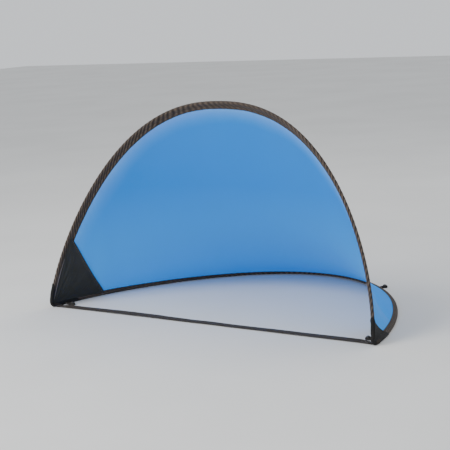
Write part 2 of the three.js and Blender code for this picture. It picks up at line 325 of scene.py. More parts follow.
def grid_mesh(name, points, uv, attributes, material, wrap=False, flip=False, caps=False):
    """Grid of quads; `wrap` joins the last column to the first, `caps` closes the ends."""
    rows, columns = shape = points.shape[:2]
    row = np.arange(rows - 1)[:, None] * columns
    column = np.arange(columns if wrap else columns - 1)[None, :]
    after = (column + 1) % columns
    corners = (row + column, row + columns + column, row + columns + after, row + after)
    faces = np.stack(corners, -1).reshape(-1, 4)
    faces = (faces[:, ::-1] if flip else faces).tolist()
    if caps:
        first = list(range(columns))
        last = [(rows - 1) * columns + j for j in range(columns)]
        faces += [first[::-1], last] if flip else [first, last[::-1]]
    uv = coords(*(np.broadcast_to(part, shape) for part in uv))
    attributes = {key: np.broadcast_to(v, shape) for key, v in attributes.items()}
    return make_mesh(name, points, faces, material, uv, attributes)


def cloth(name, points, uv, attributes, material, shares,
          thickness=CLOTH_THICKNESS, offset=0.0, **grid):
    """Grid of cloth, made solid unless the thickness is 0; `shares` is not used."""
    obj = grid_mesh(name, points, uv, attributes, material, **grid)
    if thickness:
        modifier = obj.modifiers.new("thickness", "SOLIDIFY")
        modifier.thickness = thickness
        modifier.offset = offset
        modifier.use_even_offset = False
    set_fold(obj)
    return obj


def tube(centres, radius, around, first, second):
    """Rings round a line, measured from direction `first` towards `second`."""
    ring = (np.cos(around)[:, None] * first[:, None, :]
            + np.sin(around)[:, None] * second[:, None, :])
    return centres[:, None, :] + radius[..., None] * ring


def stitch_row(name, points, normals, directions, material, shares=None,
               length=0.0021, width=0.0005):
    """Thread stitches on a surface. Without `shares` they ride on the hoop."""
    height = 0.0003
    normals = unit(np.broadcast_to(normals, points.shape))
    directions = unit(np.broadcast_to(directions, points.shape))
    across = unit(np.cross(normals, directions))
    directions = unit(directions + across * rng.uniform(-0.12, 0.12, len(points))[:, None])
    sections = []
    # place along the half stitch, fullness of the thread there
    for place, full in ((-1.0, 0.25), (-0.6, 0.9), (0.0, 1.0), (0.6, 0.9), (1.0, 0.25)):
        centre = points + directions * (place * length / 2)
        centre = centre + normals * (height * (0.15 + 0.85 * full) - height * 0.5)
        sections.append(np.stack([centre + across * width * 0.5 * full,
                                  centre + normals * height * 0.6 * full,
                                  centre - across * width * 0.5 * full,
                                  centre - normals * height * 0.8 * full], 1))
    base = [[4 * i + j, 4 * i + 4 + j, 4 * i + 4 + (j + 1) % 4, 4 * i + (j + 1) % 4]
            for i in range(4) for j in range(4)]
    base += [[0, 1, 2, 3], [19, 18, 17, 16]]
    faces = [[v + 20 * s for v in face] for s in range(len(points)) for face in base]
    obj = make_mesh(name, np.stack(sections, 1), faces, material)
    if shares is None:
        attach(obj, "ground_hoop")
    else:
        set_fold(obj)


# ---------------------------------------------------------------- shader helpers
def srgb(*channels):
    """Linear colour from 0-255 sRGB channels."""
    def linear(c):
        c /= 255
        return c / 12.92 if c <= 0.04045 else ((c + 0.055) / 1.055) ** 2.4
    return tuple(linear(c) for c in channels)


class Shader:
    SOCKETS = {"color": "Base Color", "rough": "Roughness", "metal": "Metallic",
               "normal": "Normal", "sheen": "Sheen Weight", "sheen_rough": "Sheen Roughness",
               "spec": "Specular IOR Level", "aniso": "Anisotropic"}

    def __init__(self, name):
        self.material = bpy.data.materials.new(name)
        self.material.use_nodes = True
        self.tree = self.material.node_tree
        self.tree.nodes.clear()
        self.out = self.node("ShaderNodeOutputMaterial")
        self.bsdf = self.node("ShaderNodeBsdfPrincipled")
        self.put(self.out.inputs[0], self.bsdf.outputs[0])

    def node(self, kind, inputs=None, **settings):
        node = self.tree.nodes.new(kind)
        for key, value in settings.items():
            setattr(node, key, value)
        for key, value in (inputs or {}).items():
            self.put(node.inputs[key], value)
        return node

    def put(self, socket, value):
        if isinstance(value, bpy.types.NodeSocket):
            self.tree.links.new(value, socket)
        else:
            socket.default_value = (*value, 1) if socket.type == "RGBA" else value

    def finish(self, **values):
        for key, value in values.items():
            self.put(self.bsdf.inputs[self.SOCKETS[key]], value)
        return self.material

    def math(self, operation, *values):
        return self.node("ShaderNodeMath", dict(enumerate(values)),
                         operation=operation).outputs[0]

    def coord(self, name):
        return self.node("ShaderNodeTexCoord").outputs[name]

    def attr(self, name):
        return self.node("ShaderNodeAttribute", attribute_name=name).outputs["Fac"]

    def mapping(self, vector, scale):
        return self.node("ShaderNodeMapping", {"Vector": vector, "Scale": scale}).outputs[0]

    def noise(self, vector, scale, detail=3.0, rough=0.5):
        inputs = {"Vector": vector, "Scale": scale, "Detail": detail, "Roughness": rough}
        return self.node("ShaderNodeTexNoise", inputs).outputs["Fac"]

    def wave(self, vector, scale, distortion=0.0):
        inputs = {"Vector": vector, "Scale": scale, "Distortion": distortion}
        return self.node("ShaderNodeTexWave", inputs, wave_type="BANDS",
                         bands_direction="X").outputs["Fac"]

    def split(self, vector):
        return self.node("ShaderNodeSeparateXYZ", {0: vector}).outputs

    def mix(self, amount, first, second):
        return self.node("ShaderNodeMix", {0: amount, 6: first, 7: second},
                         data_type="RGBA").outputs[2]

    def remap(self, value, span, to=(0, 1)):
        inputs = dict(enumerate((value, *span, *to)))
        return self.node("ShaderNodeMapRange", inputs).outputs[0]

    def bump(self, height, strength, distance, under=None):
        inputs = {"Strength": strength, "Distance": distance, "Height": height}
        if under is not None:
            inputs["Normal"] = under
        return self.node("ShaderNodeBump", inputs).outputs[0]

    def plain_weave(self, vector, pitch):
        """Over-and-under weave height, 0 to 1, with threads `pitch` metres apart."""
        u, v, _ = self.split(self.mapping(vector, (1 / pitch, 1 / pitch, 1)))
        ridges = [self.math("ABSOLUTE", self.math("SINE", self.math("MULTIPLY", a, math.pi)))
                  for a in (u, v)]
        cells = self.math("ADD", self.math("FLOOR", u), self.math("FLOOR", v))
        check = self.math("ABSOLUTE", self.math("MODULO", cells, 2.0))
        return self.node("ShaderNodeMix", {0: check, 2: ridges[0], 3: ridges[1]},
                         data_type="FLOAT").outputs[0]


# ---------------------------------------------------------------- materials
def blue_fabric():
    """Thin dyed cloth; `edge` is near a hem, where a painted highlight is added, and `backed`
    is in front of a black gusset, where painted light makes up for the light it blocks.
    """
    m = Shader("blue_panel_fabric")
    uv, place = m.coord("UV"), m.coord("Object")
    height = m.split(place)[2]
    # uneven dye; paler towards the hems is a painted highlight
    broad = m.noise(m.mapping(place, (1, 1, 1.3)), scale=2.3, detail=3, rough=0.55)
    middle = m.noise(place, scale=9.0, detail=4, rough=0.6)
    core = m.mix(m.remap(broad, span=(0.38, 0.64)), srgb(34, 156, 228), srgb(48, 156, 226))
    core = m.mix(m.remap(middle, span=(0.35, 0.7), to=(0.0, 0.35)), core, srgb(30, 158, 232))
    wobble = m.math("SUBTRACT", m.noise(place, scale=5.0, detail=3), 0.5)
    edge = m.math("ADD", m.attr("edge"), m.math("MULTIPLY", wobble, 0.30))
    pale = m.mix(m.remap(m.noise(place, scale=3.1, detail=2), span=(0.35, 0.65)),
                 srgb(146, 208, 254), srgb(136, 192, 250))
    color = m.mix(m.remap(edge, span=(0.20, 0.98), to=(0, 0.80)), core, pale)
    # painted light: a stronger, brighter blue on the outside faces, and a painted lightening
    # towards the ground on the inside
    normal = m.node("ShaderNodeNewGeometry").outputs["Normal"]
    middle_of_goal = (0.0, 0.10, 0.10)
    outward = m.node("ShaderNodeVectorMath", {0: place, 1: middle_of_goal},
                     operation="SUBTRACT").outputs["Vector"]
    facing = m.node("ShaderNodeVectorMath", {0: normal, 1: outward},
                    operation="DOT_PRODUCT").outputs["Value"]
    inner = m.remap(facing, span=(-0.02, 0.02), to=(1.0, 0.0))
    painted_low_light = m.math("MULTIPLY", m.remap(height, span=(0.38, 0.05), to=(0.0, 0.92)), inner)
    color = m.mix(m.remap(inner, span=(0.0, 1.0), to=(0.92, 0.0)), color, srgb(4, 188, 255))
    color = m.mix(painted_low_light, color, srgb(92, 202, 255))
    # the gusset lets no light through; a painted brighter blue there makes up for the light it
    # blocks
    backed = m.attr("backed")
    color = m.mix(m.math("MULTIPLY", backed, 0.80), color, srgb(0, 146, 255))
    # threads, with thicker ones both ways
    weave = m.plain_weave(uv, pitch=0.0007)
    slubs = m.math("ADD", *(m.noise(m.mapping(uv, scale), scale=1.0, detail=2)
                            for scale in ((900, 25, 1), (25, 900, 1))))
    color = m.mix(m.remap(weave, span=(0, 1), to=(0.10, 0.0)), color, srgb(34, 112, 176))
    color = m.mix(m.remap(slubs, span=(0.7, 1.3), to=(0.0, 0.10)), color, srgb(120, 176, 222))
    # dust, mostly near the ground
    dust = m.remap(m.noise(place, scale=22.0, detail=5, rough=0.65),
                   span=(0.55, 0.8), to=(0.0, 0.10))
    low = m.remap(height, span=(0.0, 0.12), to=(1.0, 0.0))
    dust = m.math("MULTIPLY", dust, m.math("ADD", low, 0.25))
    color = m.mix(dust, color, srgb(120, 128, 120))
    relief = m.bump(weave, strength=0.30, distance=0.00015)
    relief = m.bump(slubs, strength=0.10, distance=0.0003, under=relief)
    relief = m.bump(m.noise(place, scale=38.0, detail=4, rough=0.6),
                    strength=0.12, distance=0.0012, under=relief)
    m.finish(color=color, rough=m.remap(middle, span=(0.3, 0.7), to=(0.50, 0.62)),
             normal=relief, sheen=0.045, sheen_rough=0.45, spec=0.12)
    # light through the cloth
    glow = m.node("ShaderNodeBsdfTranslucent",
                  {"Color": m.mix(0.5, color, srgb(22, 182, 255))}).outputs[0]
    amount = m.remap(backed, span=(0.0, 1.0), to=(0.52, 0.06))
    both = m.node("ShaderNodeMixShader", {0: amount, 1: m.bsdf.outputs[0], 2: glow})
    m.put(m.out.inputs[0], both.outputs[0])
    return m.material


def woven_fabric(name, dark, light):
    m = Shader(name)
    uv, place = m.coord("UV"), m.coord("Object")
    weave = m.plain_weave(uv, pitch=0.0010)
    blotch = m.noise(place, scale=14.0, detail=4, rough=0.6)
    halfway = [(a + b) / 2 for a, b in zip(dark, light)]
    color = m.mix(m.remap(blotch, span=(0.35, 0.68)), srgb(*dark), srgb(*halfway))
    color = m.mix(m.remap(weave, span=(0.1, 1.0), to=(0.0, 0.38)), color, srgb(*light))
    lint = m.noise(m.mapping(place, (1, 1, 1)), scale=420.0, detail=2, rough=0.7)
    color = m.mix(m.remap(lint, span=(0.68, 0.8), to=(0.0, 0.25)), color, srgb(84, 82, 80))
    relief = m.bump(weave, strength=0.45, distance=0.00022)
    relief = m.bump(m.noise(place, scale=60.0, detail=4, rough=0.6),
                    strength=0.15, distance=0.0010, under=relief)
    return m.finish(color=color, rough=m.remap(blotch, span=(0.3, 0.7), to=(0.66, 0.8)),
                    normal=relief, sheen=0.04, sheen_rough=0.5, spec=0.16)


def edge_tape():
    """Soft binding tape, drawn up in slanting gathers; `ridge` is their height, which the
    colour turns into painted shade in the valleys and painted highlights on the crests.
    """
    m = Shader("ruched_edge_tape")
    uv, place = m.coord("UV"), m.coord("Object")
    ridge = m.attr("ridge")
    ribs = m.wave(m.mapping(uv, (1 / 0.0012, 1, 1)), scale=0.16, distortion=0.6)
    weave = m.plain_weave(uv, pitch=0.0009)
    blotch = m.noise(m.mapping(uv, (7, 60, 1)), scale=1.0, detail=4, rough=0.6)
    warm = m.noise(place, scale=4.0, detail=3, rough=0.5)
    # painted shade in the valleys to painted highlights on the crests of the gathers
    gather_shade_stops = [(0.0, srgb(29, 26, 24)), (0.30, srgb(47, 41, 38)),
             (0.62, srgb(77, 67, 60)), (1.0, srgb(104, 92, 82))]
    ramp = m.node("ShaderNodeValToRGB", {0: ridge})
    elements = ramp.color_ramp.elements
    while len(elements) > 1:
        elements.remove(elements[-1])
    elements[0].position, elements[0].color = gather_shade_stops[0][0], (*gather_shade_stops[0][1], 1)
    for position, stop_color in gather_shade_stops[1:]:
        elements.new(position).color = (*stop_color, 1)
    color = ramp.outputs[0]
    cool = m.mix(0.5, color, srgb(64, 58, 62))
    color = m.mix(m.remap(warm, span=(0.4, 0.65), to=(0.0, 0.45)), color, cool)
    color = m.mix(m.remap(blotch, span=(0.45, 0.75), to=(0.0, 0.40)), color, srgb(44, 39, 38))
    color = m.mix(m.remap(weave, span=(0.0, 1.0), to=(0.22, 0.0)), color, srgb(22, 20, 20))
    wear = m.remap(m.noise(place, scale=210.0, detail=3, rough=0.7),
                   span=(0.60, 0.78), to=(0.0, 0.30))
    color = m.mix(m.math("MULTIPLY", wear, ridge), color, srgb(140, 128, 118))
    relief = m.bump(weave, strength=0.55, distance=0.00025)
    relief = m.bump(ribs, strength=0.25, distance=0.0002, under=relief)
    return m.finish(color=color, rough=0.85, normal=relief,
                    sheen=0.05, sheen_rough=0.5, spec=0.15)


def webbing(name, dark, light):
    """Flat webbing with a chevron face; UV u runs along it and v across, in metres."""
    chevron, twill_pitch, end_pitch = 0.008, 0.0022, 0.0011
    m = Shader(name)
    uv, place = m.coord("UV"), m.coord("Object")
    u, v, _ = m.split(uv)
    fold = m.math("FRACT", m.math("MULTIPLY", v, 1 / chevron))
    fold = m.math("MULTIPLY", m.math("ABSOLUTE", m.math("SUBTRACT", fold, 0.5)), 2.0)
    phase = m.math("ADD", m.math("MULTIPLY", u, TURN / twill_pitch),
                   m.math("MULTIPLY", fold, 9.0))
    twill = m.remap(m.math("SINE", phase), span=(-1, 1))
    ends = m.math("SINE", m.math("MULTIPLY", v, TURN / end_pitch))
    ends = m.remap(ends, span=(-1, 1))
    height = m.math("ADD", m.math("MULTIPLY", twill, 0.65), m.math("MULTIPLY", ends, 0.35))
    blotch = m.noise(m.mapping(uv, (30, 160, 1)), scale=1.0, detail=4, rough=0.6)
    color = m.mix(height, srgb(*dark), srgb(*light))
    color = m.mix(m.remap(blotch, span=(0.45, 0.75), to=(0.0, 0.35)), color, srgb(70, 62, 54))
    fuzz = m.remap(m.noise(place, scale=600.0, detail=2, rough=0.7),
                   span=(0.62, 0.8), to=(0.0, 0.3))
    color = m.mix(fuzz, color, srgb(92, 84, 74))
    return m.finish(color=color, rough=0.85, sheen=0.06, sheen_rough=0.5, spec=0.16,
                    normal=m.bump(height, strength=0.8, distance=0.0003))


def thread(name, dark):
    m = Shader(name)
    twist = m.noise(m.mapping(m.coord("Object"), (1, 1, 1)), scale=1500.0, detail=2, rough=0.6)
    light = [min(255, c * 1.35 + 8) for c in dark]
    color = m.mix(m.remap(twist, span=(0.35, 0.65)), srgb(*dark), srgb(*light))
    return m.finish(color=color, rough=0.55, sheen=0.3, spec=0.35,
                    normal=m.bump(twist, strength=0.4, distance=0.0001))


def steel():
    m = Shader("spring_steel")
    place = m.coord("Object")
    drawn = m.noise(m.mapping(place, (40, 40, 900)), scale=1.0, detail=4, rough=0.6)
    oil = m.noise(place, scale=30.0, detail=4, rough=0.6)
    color = m.mix(m.remap(oil, span=(0.35, 0.7)), srgb(128, 132, 138), srgb(96, 94, 92))
    return m.finish(color=color, metal=1.0, aniso=0.4,
                    rough=m.remap(drawn, span=(0.3, 0.7), to=(0.24, 0.42)),
                    normal=m.bump(drawn, strength=0.12, distance=0.0002))


def ferrule_metal():
    m = Shader("crimped_ferrule")
    place = m.coord("Object")
    scratch = m.noise(m.mapping(place, (300, 2000, 2000)), scale=1.0, detail=3, rough=0.6)
    color = m.mix(m.remap(scratch, span=(0.3, 0.7)), srgb(170, 172, 174), srgb(142, 144, 148))
    crimps = m.wave(place, scale=38.0)
    return m.finish(color=color, metal=1.0,
                    rough=m.remap(scratch, span=(0.3, 0.7), to=(0.32, 0.5)),
                    normal=m.bump(crimps, strength=0.5, distance=0.0004))


def plastic():
    """Black moulding, rubbed pale where `edge` is 1 and dirty below the ground."""
    m = Shader("peg_plastic")
    place = m.coord("Object")
    grain = m.noise(place, scale=700.0, detail=3, rough=0.6)
    flow = m.noise(m.mapping(place, (60, 60, 18)), scale=1.0, detail=3, rough=0.5)
    color = m.mix(m.remap(flow, span=(0.35, 0.7)), srgb(22, 22, 23), srgb(36, 36, 38))
    rub = m.remap(m.noise(place, scale=300.0, detail=3), span=(0.4, 0.7), to=(0.1, 0.8))
    color = m.mix(m.math("MULTIPLY", m.attr("edge"), rub), color, srgb(84, 84, 86))
    dirt = m.remap(m.noise(place, scale=120.0, detail=4, rough=0.65),
                   span=(0.5, 0.75), to=(0.0, 0.5))
    below = m.remap(m.split(place)[2], span=(-0.02, 0.004), to=(1.0, 0.0))
    color = m.mix(m.math("MULTIPLY", dirt, below), color, srgb(92, 78, 58))
    return m.finish(color=color, rough=m.remap(grain, span=(0.3, 0.7), to=(0.40, 0.55)),
                    normal=m.bump(grain, strength=0.2, distance=0.00015))


BLUE = blue_fabric()
GUSSET_BLACK = woven_fabric("black_patch_fabric", dark=(36, 37, 37), light=(56, 57, 57))
PATCH_BLACK = woven_fabric("corner_patch_fabric", dark=(17, 17, 18), light=(32, 32, 33))
TAPE = edge_tape()
STRAP_WEB = webbing("goal_webbing", dark=(28, 24, 21), light=(58, 50, 44))
LOOP_WEB = webbing("loop_webbing", dark=(24, 24, 25), light=(52, 51, 50))
SLEEVE_BLACK = woven_fabric("corner_sleeve_fabric", dark=(22, 21, 21), light=(38, 36, 36))
STEEL = steel()
FERRULE = ferrule_metal()
PEG_PLASTIC = plastic()
DARK_THREAD = thread("thread_dark", dark=(58, 52, 48))
GREY_THREAD = thread("thread_grey", dark=(98, 98, 100))
# pale grey cord: a painted highlight along the corner pockets
PAINTED_HIGHLIGHT_CORD_GREY = woven_fabric("grey_piping", dark=(96, 91, 98), light=(128, 122, 130))

for part, metal in (("arch_wire", STEEL), ("hoop_wire", STEEL), ("wire_ferrule", FERRULE)):
    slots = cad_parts[part].data.materials
    slots.clear()
    slots.append(metal)


# ---------------------------------------------------------------- blue panel
def gusset_seam(share):
    """Angle where the gussets end, from the arch (0) to the hoop (1)."""
    curve = 6.2 * share * (1 - share) * (1 + 1.6 * share)
    return np.radians(26.2 - 0.6 * share + curve)


def pucker(distance, along, height, fade, crumple, wave, seed):
    """Gathers along a seam that fade into the cloth."""
    return height * np.exp(-distance / fade) * (
        noise1(along / crumple, seed, 2) + 0.35 * np.sin(along * TURN / wave))


def panel():
    rows, columns = 420, 110
    start = math.radians(7.2)
    tuck = 0.006                 # how far the cloth goes in under the tape
    pocket_gap = 0.002
    angle = ARCH.spread(start, math.pi - start, rows)[:, None]
    even = np.cos(np.pi * np.linspace(0, 1, columns))
    across = 0.5 - 0.5 * even * (0.55 + 0.45 * np.abs(even))   # closer rows at the hems

    length, arch_rate, hoop_rate = ruling(angle)
    pocket, reach, _ = hem(ARCH, angle)
    arch_edge = pocket + reach
    low = np.maximum(arch_edge - tuck, pocket + pocket_gap)
    pocket, reach, _ = hem(HOOP, angle)
    hoop_edge = length - pocket - reach
    high = length - np.maximum(pocket + reach - tuck, pocket + pocket_gap)
    distance = low + (high - low) * across
    share = distance / length
    along, hoop_along = ARCH.length_at(angle), HOOP.length_at(angle)
    # from each tape edge, square to it
    from_arch = np.maximum((distance - arch_edge) * arch_rate, 0)
    from_hoop = np.maximum((hoop_edge - distance) * hoop_rate, 0)
    corner = np.minimum(angle, math.pi - angle)

    puckers = pucker(from_arch, along, height=0.00055, fade=0.020,
                     crumple=0.016, wave=0.021, seed=11)
    puckers = puckers + pucker(from_hoop, hoop_along, height=0.00065, fade=0.024,
                               crumple=0.019, wave=0.026, seed=12)
    # slack between the two stretched edges
    belly = 0.0022 * smooth((corner - 0.26) / 0.20) * np.sin(np.pi * share)
    belly = belly * (1 + 0.35 * noise1(along / 0.35, 13, 2))
    # tension folds running out of the corners
    folds = 0.0
    for corner_index, turn in enumerate((angle, math.pi - angle)):
        turn = turn / (math.pi / 2)
        fall = bell(turn - 0.34, 0.20) * np.sin(np.pi * share) ** 0.8
        phase = turn * 17 + 2.1 * share + 5 * corner_index
        folds = folds + 0.0011 * fall * noise1(phase, 14 + corner_index, 2)
    ripple = 0.0006 * noise2(along / 0.11, share * 5.0, 21, 3)
    free = smooth(from_arch / 0.03) * smooth(from_hoop / 0.03)
    # stays between the two faces of the tape under its edge
    hold = np.minimum(smooth(from_arch / 0.004), smooth(from_hoop / 0.004))
    inward = (puckers + (folds + ripple - belly) * free) * hold
    points = fabric(angle, distance, inward)

    # edge: near the tapes and the corners, where the blue gets its painted highlight
    edge = np.maximum(np.exp(-from_arch / 0.036), 0.80 * np.exp(-from_hoop / 0.030))
    corner_length = np.minimum(along, ARCH.total - along)
    edge = np.maximum(edge, 0.45 * np.exp(-np.maximum(corner_length - 0.19, 0) / 0.05))
    # backed: in front of a gusset, where the blue gets painted light
    backed = smooth((gusset_seam(share) - corner) / 0.010 + 0.5)
    obj = cloth("panel_cloth", points, (along, distance), {"edge": edge, "backed": backed},
                BLUE, fold_share(points))
    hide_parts("rear_panel")


panel()


# ---------------------------------------------------------------- edge tape, arch and hoop
# Inside half of the flat tape: distance from the wire, height off the cloth.
TAPE_SIDE = [
    (ARCH_HEM, 0.00072), (0.0207, 0.00074), (0.0185, 0.00076), (0.0160, 0.00078),
    (0.0137, 0.00082), (0.0116, 0.00094), (0.0096, 0.00130), (0.0078, 0.00195),
    (0.0060, 0.00290), (0.0043, 0.00375),
]


def ring_points(radius, start, end, count):
    around = np.radians(np.linspace(start, end, count))
    return [(radius * math.cos(a), radius * math.sin(a)) for a in around]


def pocket_profile():
    """Middle line of the folded tape, from the inside edge round the wire to the outside
    edge: its points, the way gathers push out from it, and the distance across it."""
    outside = [(x, -y) for x, y in TAPE_SIDE[::-1]]
    outline = np.array(TAPE_SIDE + ring_points(POCKET_RADIUS, 66, 294, 17) + outside)
    profile, across = resample(outline, 46)
    tangent = np.gradient(profile, axis=0)
    push = np.stack([tangent[:, 1], -tangent[:, 0]], -1)
    push /= np.linalg.norm(push, axis=1, keepdims=True)
    square, height = profile.T
    inverted = (push[:, 1] * np.sign(height + 1e-9) < 0) & (square > 0.0)
    push = np.where(inverted[:, None], -push, push)
    round_wire = profile / np.maximum(np.linalg.norm(profile, axis=1, keepdims=True), 1e-9)
    return profile, np.where((square <= 0.003)[:, None], round_wire, push), across


def tape(wire):
    hoop = wire is HOOP
    profile, push, across = pocket_profile()
    angle = wire.spread(CLOTH_START, math.pi - CLOTH_START, 1500)[:, None]
    along = wire.length_at(angle)
    part = along / wire.total
    flat_x, flat_y = profile.T
    # the flat part is cut short where the two tapes meet in the corner
    scale = hem(wire, angle)[2]
    square = np.where(flat_x > POCKET_RADIUS,
                      POCKET_RADIUS + (flat_x - POCKET_RADIUS) * scale, flat_x)

    # gathers lean one way by the right corner and swing over to the other by the left
    pitch = 0.0165 if hoop else 0.0185
    drift = 0.0050 * noise1(along / 0.07, 31 + hoop, 2)
    drift = drift + 0.0020 * noise1(across / 0.012 + along / 0.05, 33 + hoop, 2)
    slant = -1.75 + 3.15 * smooth((part - 0.34) / 0.40)
    phase = (along + slant * (across - across.mean()) + drift) / pitch
    wobble = 0.8 * noise2(along / 0.03, across / 0.01, 35 + hoop, 2)
    gather = (0.5 + 0.5 * np.sin(TURN * phase + wobble)) ** 0.85
    strength = np.clip(0.74 + 0.22 * noise1(along / 0.16, 36 + hoop, 2)
                       + 0.24 * noise1(along / 0.028, 39 + hoop, 2), 0.25, 1.15)
    # flatter over the top of the arch, where the tape is stretched
    calm = bell(part - 0.46, 0.15) * (0.0 if hoop else 1.0)
    strength = strength * (1 - 0.45 * calm)
    # held down under the stitching
    held = (1 - 0.60 * bell(flat_x - POCKET_STITCH, 0.0010)
            - 0.70 * bell(flat_x - EDGE_STITCH, 0.0012))
    flatness = np.clip((flat_x - 0.006) / 0.006, 0, 1)
    lift = (gather - 0.35) * 0.00075 * (1 - 0.25 * flatness) * strength * held
    lift = np.where(flat_x > 0.010, np.maximum(lift, -0.00012), lift)
    square = square + push[:, 0] * lift
    height = flat_y + push[:, 1] * lift
    # wandering free edge
    wander = 0.0006 * noise1(along / 0.02, 37 + hoop, 2)
    square = square + bell(flat_x - ARCH_HEM, 0.0022) * scale * wander

    points, _ = beside_wire(wire, angle, square, height)
    points[..., 2] = np.maximum(points[..., 2], 0.0004)
    # ridge drives the tape's painted shade and highlights, evened out where the tape lies
    # flatter
    ridge = np.clip(gather * (0.55 + 0.45 * strength) * held + 0.08, 0, 1)
    ridge = ridge + (0.66 - ridge) * (0.55 * calm)
    obj = cloth(f"{wire.name}_tape", points, (along, across), {"ridge": ridge}, TAPE,
                wire_fold_share(wire, points, square), thickness=0.00055, flip=not hoop)
    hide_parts(f"{wire.name}_sleeve", f"{wire.name}_hem")

    # thread rows on both faces
    start = math.radians(9.5)
    count = int(wire.total * 0.94 / STITCH_PITCH)
    angle = wire.spread(start, math.pi - start, count)
    scale = hem(wire, angle)[2]
    for row, distance in (("pocket", POCKET_STITCH), ("edge", EDGE_STITCH)):
        square = POCKET_RADIUS + (distance - POCKET_RADIUS) * scale
        middle, normals = beside_wire(wire, angle, square)
        for face, sign in (("in", 1), ("out", -1)):
            points = middle + normals * (sign * 0.00112)
            stitch_row(f"{wire.name}_stitch_{row}_{face}", points, normals * sign,
                       wire.direction(angle), DARK_THREAD, fold_share(points))


tape(ARCH)
tape(HOOP)


# ---------------------------------------------------------------- inner gussets
def inset(angle, margin):
    """The ruling, and the places on it `margin` square from the arch and the hoop."""
    length, arch_rate, hoop_rate = ruling(angle)
    return length, arch_rate, hoop_rate, margin / arch_rate, length - margin / hoop_rate


def corner_grid(side, seam, rows, columns):
    """Grid from the corner (0) to a seam (1): both shares, the angle, the length along
    the arch and the length left to the seam."""
    out = np.linspace(0, 1, rows)[:, None]
    down = np.linspace(0, 1, columns)[None, :]
    start, end = ARCH.length_at(CLOTH_START), ARCH.length_at(seam(down))
    along = start + out * (end - start)
    return out, down, mirrored(ARCH.angle_at(along), side), along, end - along


def seam_angles(side, seam, down, back):
    """Angles a length `back` short of a seam, towards the corner."""
    return mirrored(ARCH.angle_at(ARCH.length_at(seam(down)) - back), side)


def over_tape(from_arch, from_hoop):
    """1 where a gusset lies on the tape, 0 where it has sunk to the panel."""
    return np.maximum(1 - smooth((from_arch - 0.0200) / 0.014),
                      1 - smooth((from_hoop - 0.0130) / 0.012))


def rim_lift(from_arch, from_hoop, margin):
    return np.maximum(np.exp(-(from_arch - margin) / 0.003),
                      np.exp(-(from_hoop - margin) / 0.003))


def gusset(side):
    """Black patch over the inside of the corner, from the pockets to a folded seam."""
    margin, least_width = 0.0085, 0.004
    base, tape_step, bead_height = 0.00085, 0.00085, 0.0011
    bead_at, bead_width = 0.0025, 0.0022
    out, down, angle, along, to_seam = corner_grid(side, gusset_seam, 120, 90)
    length, arch_rate, hoop_rate, low, high = inset(angle, margin)
    half = np.maximum((high - low) / 2, least_width / 2)
    distance = (low + high) / 2 + half * (2 * down - 1)
    from_arch, from_hoop = distance * arch_rate, (length - distance) * hoop_rate
    inward = (base + tape_step * over_tape(from_arch, from_hoop)
              + 0.0006 * rim_lift(from_arch, from_hoop, margin))
    # soft creases from corner to seam
    ease = smooth(out * 4) * smooth((1 - out) * 7)
    crumple = noise2(out * 2.2 + 3 * side, down * 6.0 + out * 2.6, 41 + (side > 0), 3)
    inward = inward + 0.0030 * np.maximum(0, crumple) * ease
    phase = down * 2.3 + out * 1.1 + 0.25 * noise2(out * 2, down * 3, 47, 2)
    inward = inward + 0.0016 * np.maximum(0, np.sin(TURN * phase)) ** 2 * ease
    # puckers drawn in along the seam
    wave = np.sin(distance * TURN / 0.014 + 1.3 * noise1(distance / 0.03, 43, 2))
    inward = inward + 0.0005 * np.exp(-to_seam / 0.012) * (0.5 + 0.5 * wave)
    # folded edge: a raised bead that rolls down to the panel
    bead = bell(to_seam - bead_at, bead_width)
    inward = np.where(out > 0.999, 0.0003, inward + bead_height * bead)
    points = fabric(angle, distance, inward)
    obj = cloth(f"gusset_cloth_{SIDES[side]}", points, (along + 0.003 * down, distance),
                {"edge": bead}, GUSSET_BLACK, fold_share(points), flip=side < 0)
    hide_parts(f"gusset_{SIDES[side]}")

    # two rows of stitching beside the seam
    seam_length = 0.21
    down = np.linspace(0.04, 0.96, int(seam_length / STITCH_PITCH))
    for row, (back, material) in enumerate(((0.0060, GREY_THREAD), (0.0125, DARK_THREAD))):
        angle = seam_angles(side, gusset_seam, down, back)
        length, arch_rate, hoop_rate, low, high = inset(angle, margin)
        distance = low + (high - low) * down
        over = over_tape(distance * arch_rate, (length - distance) * hoop_rate)
        lift = base + tape_step * over + bead_height * bell(back - bead_at, bead_width)
        lift = lift + 0.00052
        normals = normal_in(angle, distance / length)
        points = surface(angle, distance / length) + normals * lift[:, None]
        stitch_row(f"gusset_stitch_{SIDES[side]}_{row}", points, normals,
                   np.gradient(points, axis=0), material, fold_share(points))


gusset(1)
gusset(-1)


# ---------------------------------------------------------------- pale cord beside the arch, a painted highlight
def painted_highlight_cord(side):
    """Thin pale cord beside the arch pocket in the corner: a painted highlight along the
    pocket's edge.
    """
    angle = ARCH.spread(math.radians(5.0), math.radians(20.0), 150)
    along = ARCH.length_at(angle)[:, None]
    place = mirrored(angle, side)
    centres, normals = beside_wire(ARCH, place, square=0.0102, inward=0.0031)
    sideways = unit(np.cross(normals, ARCH.direction(place)))
    fade = smooth(np.minimum((angle - angle[0]) / 0.05, (angle[-1] - angle) / 0.12))[:, None]
    radius = 0.0013 * (0.35 + 0.65 * fade) * (1 + 0.08 * noise1(along / 0.004, 51, 2))
    around = np.linspace(0, TURN, 8, endpoint=False)
    points = tube(centres, radius, around, normals, sideways)
    obj = cloth(f"corner_piping_{SIDES[side]}", points, (along, 0.0009 * around),
                {"edge": np.ones(1)}, PAINTED_HIGHLIGHT_CORD_GREY, fold_share(points, stiff=1.0),
                thickness=0, wrap=True, caps=True)


painted_highlight_cord(1)
painted_highlight_cord(-1)


# ---------------------------------------------------------------- outer corner patches
def patch_seam(share):
    return np.radians(8.8 + 6.7 * share + 4.2 * share * (1 - share))


